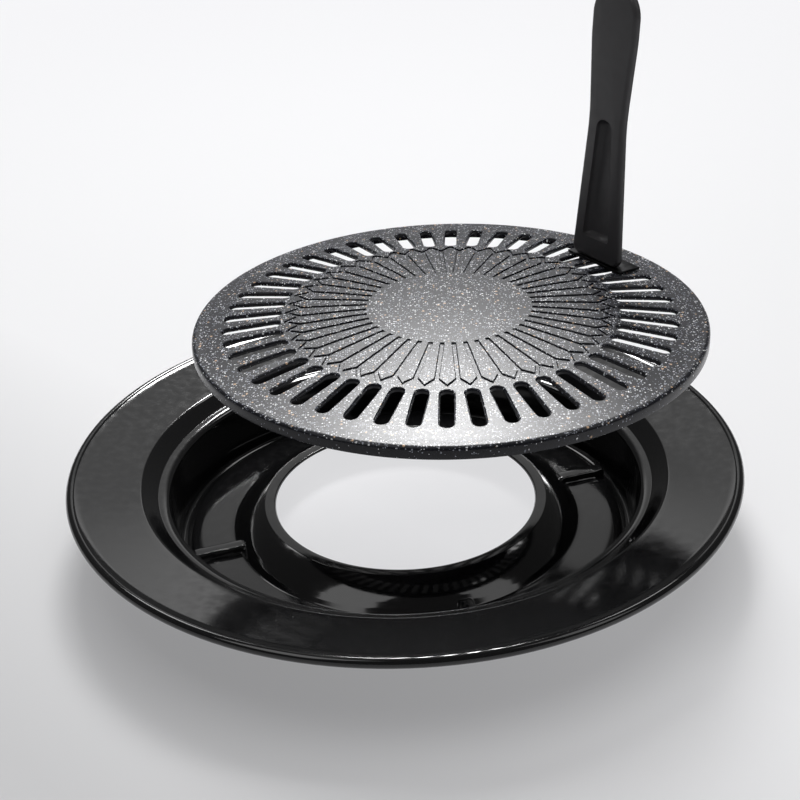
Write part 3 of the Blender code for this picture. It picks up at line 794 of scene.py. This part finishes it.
screws = {
    "seat": 0.0111,
    "heights": {"handle_screw_lower": 0.0080, "handle_screw_upper": 0.0230},
    "headRadius": 0.0035,
    "headHeight": 0.0020,
    "headBend": (0.0011, 5),    # rounding, steps of its arc
    "rimBend": (0.0002, 2),
    "shankRadius": 0.0017,
    "shankLength": 0.0048,
    "tipBend": (0.0004, 2),
    "steps": 32,
    "socketRadius": 0.0014,
    "socketDepth": 0.0010,
    "socketSides": 6,
    "sharpDegrees": 35,
    "steel": {"colour": (0.45, 0.45, 0.46), "roughness": (0.24, 0.36), **steelGrain},
}


def buildScrew(node, height, size, material):
    bm = bmesh.new()
    head, shank = size["headRadius"], size["shankRadius"]
    top, tip = size["headHeight"], -size["shankLength"]
    profileWire(bm, [(0, top), (head, top, *size["headBend"]), (head, 0, *size["rimBend"]), (shank, 0),
                     (shank, tip, *size["tipBend"]), (0, tip)])
    spinRound(bm, everything(bm), 360, size["steps"], merge=True)
    closeUp(bm)
    socket = bmesh.new()
    bmesh.ops.create_cone(socket, cap_ends=True, segments=size["socketSides"], radius1=size["socketRadius"],
                          radius2=size["socketRadius"], depth=size["socketDepth"] * 2,
                          matrix=Matrix.Translation((0, 0, top)))
    bm = cutWith(bm, [socket])
    aim = Matrix.Translation((0, size["seat"], height)) @ Matrix.Rotation(math.radians(-90), 4, "X")
    bmesh.ops.transform(bm, matrix=handleMatrix(handle) @ aim, verts=bm.verts)
    piece = newPiece(node.replace("handle_s", "s"), bm, material, size["sharpDegrees"])
    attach(piece, "handle")
    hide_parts(node)


buildGrip(handle, grainedFinish("handleResin", handle["resin"]))
buildHookPlate(hookPlate, grainedFinish("blackenedSteel", hookPlate["steel"]))
screwSteel = grainedFinish("screwSteel", screws["steel"])
for node, height in screws["heights"].items():
    buildScrew(node, height, screws, screwSteel)
print("handle made")


# Studio

studio = {
    "floorSize": 12.0,
    "floorCells": 8,
    "floorDrop": 0.0002,
    "floorColour": (0.86, 0.86, 0.87),
    "floorRoughness": 0.7,
    "floorWhite": (0.93, 0.93, 0.95),
    "floorGlow": 0.36,          # share of floorWhite that the camera sees near the object
    "farGlow": 0.95,            # the same far out
    "farReach": (0.55, 1.50),
    "holeGlow": 0.74,           # the same below the burner hole, painted light that lifts the tray's shade there
    "holeReach": (0.105, 0.130),
    "glossGlow": 0.75,          # the same as mirrored by the object
    # painted shade: near the object the floor is made darker towards the left front, in its colour and in
    # its white
    "paintedShadeWay": (0.5, 0.5, 0.0),
    "paintedShadeReach": (-0.20, 0.00),  # along that way, where the floor's painted shade turns from dim to full
    "paintedShadeLeast": 0.68,
    "backdrop": (0.94, 0.94, 0.95),
    "lowGlow": 0.10,
    "highGlow": 0.62,
    "stripGlow": 1.30,
    "glowRise": (0.378, 0.400),   # sines of the elevations between which the backdrop turns white
    "stripFade": (0.410, 0.500),  # the same where its brighter lower strip ends
    "glowAhead": (-0.10, 0.45),   # the same along Y, so the white part lies behind the object
    "glowAside": (0.28, 0.12),    # the same to both sides
    "lamps": {
        "backBox": {"place": (-0.10, 1.45, 1.98), "size": (0.90, 0.80), "power": 34.0, "seenBy": "matt"},
        "backSheen": {"place": (0.06, 1.62, 2.04), "size": (0.50, 0.72), "power": 88.0, "seenBy": "gloss"},
        "cornerSheen": {"place": (1.20, 1.28, 2.36), "size": (0.60, 0.60), "power": 6.0, "seenBy": "gloss"},
        "farSheen": {"place": (-1.00, 1.42, 2.10), "size": (0.70, 0.60), "power": 8.0, "seenBy": "gloss"},
        "leftBox": {"place": (-1.10, -0.95, 2.05), "size": (1.20, 1.50), "power": 11.0, "seenBy": "gloss"},
        "rightBox": {"place": (1.40, -0.70, 1.65), "size": (0.80, 1.30), "power": 4.8, "seenBy": "gloss"},
        "ceiling": {"place": (0.1, -0.1, 2.60), "size": (2.60, 2.60), "power": 26.0, "seenBy": "matt"},
    },
    "aim": (0.0, 0.0, 0.12),
}


def addLamp(name, settings, aim):
    data = bpy.data.lights.new(name, "AREA")
    data.shape = "RECTANGLE"
    data.size, data.size_y = settings["size"]
    data.energy = settings["power"]
    lamp = bpy.data.objects.new(name, data)
    bpy.context.scene.collection.objects.link(lamp)
    lamp.visible_glossy = settings["seenBy"] == "gloss"
    lamp.visible_diffuse = settings["seenBy"] == "matt"
    turn = (Vector(aim) - Vector(settings["place"])).to_track_quat("-Z", "Y").to_matrix().to_4x4()
    lamp.matrix_world = Matrix.Translation(settings["place"]) @ turn


def floorFinish(settings):
    # keeps the object's shadow and adds a soft white of its own for the camera and for reflections, plus
    # painted shade towards the left front and painted light below the burner hole
    cloth = Finish("studioFloor", settings["floorColour"], settings["floorRoughness"])
    tree = cloth.tree
    path = cloth.add("ShaderNodeLightPath").outputs
    reach = cloth.add("ShaderNodeVectorMath", {0: cloth.coords}, operation="LENGTH").outputs["Value"]
    # painted light: a brighter patch under the burner hole, where the tray casts shade
    hole = addRamp(tree, reach, settings["holeReach"], (settings["holeGlow"], 0))
    outer = addRamp(tree, reach, settings["farReach"], (settings["floorGlow"], settings["farGlow"]))
    seenPart = addMath(tree, "MULTIPLY", path["Is Camera Ray"], addMath(tree, "MAXIMUM", hole, outer))
    share = addMath(tree, "MULTIPLY_ADD", path["Is Glossy Ray"], settings["glossGlow"], seenPart)
    # painted shade: a darkening towards the left front that fades out far from the object
    slant = cloth.add("ShaderNodeVectorMath", {0: cloth.coords, 1: settings["paintedShadeWay"]},
                      operation="DOT_PRODUCT").outputs["Value"]
    near = addRamp(tree, slant, settings["paintedShadeReach"], (settings["paintedShadeLeast"], 1))
    far = addRamp(tree, reach, settings["farReach"], (0, 1))
    paintedShadeFactor = addMath(tree, "MAXIMUM", near, far)
    cloth.drive("Base Color", cloth.mix(paintedShadeFactor, (0, 0, 0), settings["floorColour"]))
    white = cloth.add("ShaderNodeEmission", {"Color": (*settings["floorWhite"], 1), "Strength": paintedShadeFactor})
    seen = cloth.add("ShaderNodeMixShader", {0: share, 1: cloth.shader.outputs[0], 2: white.outputs[0]})
    tree.links.new(seen.outputs[0], tree.nodes["Material Output"].inputs["Surface"])
    return cloth.material


def buildFloor(settings):
    bm = bmesh.new()
    cells = settings["floorCells"]
    bmesh.ops.create_grid(bm, x_segments=cells, y_segments=cells, size=settings["floorSize"] / 2)
    bmesh.ops.translate(bm, verts=bm.verts, vec=(0, 0, -settings["floorDrop"]))
    floor = newPiece("studioFloor", bm, floorFinish(settings))


def buildBackdrop(settings):
    # plain for the camera; for other rays dim, with a white part high up behind the object
    world = bpy.data.worlds.new("studioWorld")
    world.use_nodes = True
    bpy.context.scene.world = world
    tree = world.node_tree
    sky = addNode(tree, "ShaderNodeTexCoord").outputs["Generated"]
    way = addNode(tree, "ShaderNodeSeparateXYZ", {0: sky}).outputs
    aside = addMath(tree, "ABSOLUTE", way["X"])
    share = 1.0
    for source, key in ((way["Z"], "glowRise"), (way["Y"], "glowAhead"), (aside, "glowAside")):
        part = addRamp(tree, source, settings[key], (0, 1), interpolation_type="SMOOTHSTEP")
        share = addMath(tree, "MULTIPLY", part, share)
    strip = addRamp(tree, way["Z"], settings["stripFade"], (settings["stripGlow"], settings["highGlow"]))
    strength = addRamp(tree, share, (0, 1), (settings["lowGlow"], strip))
    seen = addNode(tree, "ShaderNodeBackground", {"Color": (*settings["backdrop"], 1), "Strength": 1.0})
    glow = addNode(tree, "ShaderNodeBackground", {"Color": (1, 1, 1, 1), "Strength": strength})
    path = addNode(tree, "ShaderNodeLightPath")
    shown = addNode(tree, "ShaderNodeMixShader", {0: path.outputs["Is Camera Ray"], 1: glow.outputs[0],
                                                  2: seen.outputs[0]})
    tree.links.new(shown.outputs[0], tree.nodes["World Output"].inputs["Surface"])


buildFloor(studio)
buildBackdrop(studio)
for name, lamp in studio["lamps"].items():
    addLamp(name, lamp, studio["aim"])
bpy.context.scene.view_settings.view_transform = "Standard"
print("studio lit")
